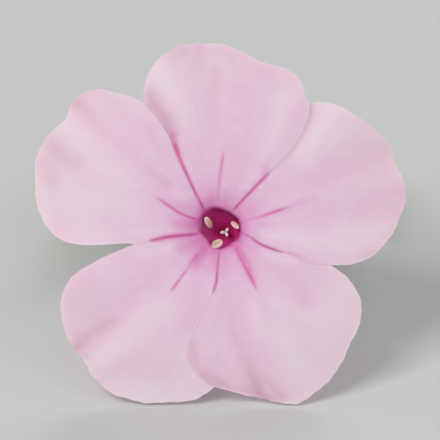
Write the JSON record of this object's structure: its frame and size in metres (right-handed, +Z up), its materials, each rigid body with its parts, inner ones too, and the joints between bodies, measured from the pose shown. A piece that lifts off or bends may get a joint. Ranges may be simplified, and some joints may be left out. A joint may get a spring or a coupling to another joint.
{
  "type": "phlox flower sprig",
  "caption": "Picked garden phlox sprig lying down: an open pink flower with a dark eye, long tube, green calyx, furled buds, small leaves and cut stem.",
  "frame": {"origin": "on the surface that the sprig lies on, under the middle of the whole sprig", "axes": "+Z up, the open flower faces -Y and a little up, and the cut stem lies behind it along +Y"},
  "size_m": [0.0282, 0.0558, 0.0247],
  "materials": {
    "petal_pink": "matte",
    "bud_pink": "matte",
    "anther_cream": "matte",
    "stigma_pale": "satin",
    "calyx_green": "satin",
    "leaf_green": "satin",
    "stem_green": "satin"
  },
  "bodies": {
    "root": {"corolla": "petal_pink", "stamen_1": "anther_cream", "stamen_2": "anther_cream", "stamen_3": "anther_cream", "stamen_4": "anther_cream", "stamen_5": "anther_cream", "pistil": "stigma_pale", "calyx": "calyx_green", "bud_calyx_left": "calyx_green", "bud_calyx_right": "calyx_green", "bud_left": "bud_pink", "bud_right": "bud_pink", "leaf_left": "leaf_green", "leaf_right": "leaf_green", "stem": "stem_green"}
  },
  "joints": []
}
